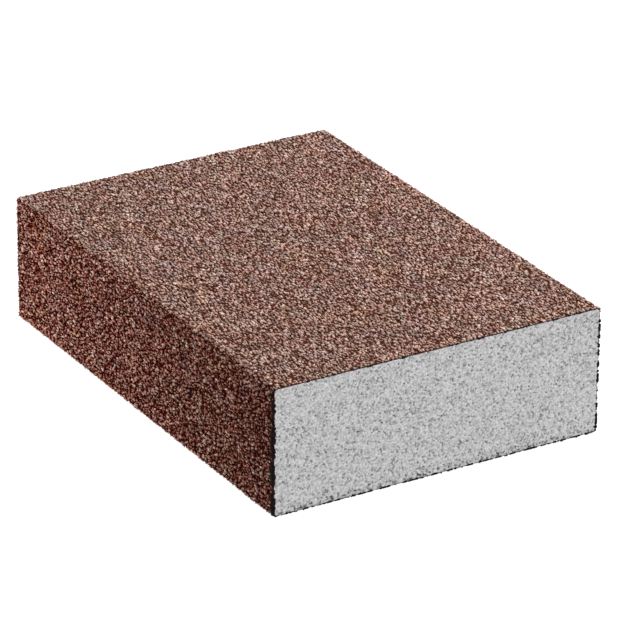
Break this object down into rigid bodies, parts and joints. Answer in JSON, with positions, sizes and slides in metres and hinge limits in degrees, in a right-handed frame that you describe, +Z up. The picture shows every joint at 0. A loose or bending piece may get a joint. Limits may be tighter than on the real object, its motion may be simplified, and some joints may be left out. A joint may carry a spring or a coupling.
{
  "type": "sanding block",
  "caption": "Rectangular foam hand sanding block, coarse brown abrasive on its long faces and rounded long edges, bare grey foam at both ends.",
  "frame": {"origin": "middle of the underside, the face that it lies on", "axes": "+X across the width, +Y along the length, +Z up through the thickness"},
  "size_m": [0.07, 0.098, 0.026],
  "materials": {
    "foam": "fine-celled flexible foam, cut, matt",
    "make_coat": "dark resin, rough",
    "grit": "brown aluminium oxide grain in size resin, coarse"
  },
  "bodies": {
    "root": {"foam_core": "foam", "make_coat_top": "make_coat", "make_coat_bottom": "make_coat", "make_coat_left": "make_coat", "make_coat_right": "make_coat", "grit_coat_top": "grit", "grit_coat_bottom": "grit", "grit_coat_left": "grit", "grit_coat_right": "grit"}
  },
  "joints": []
}
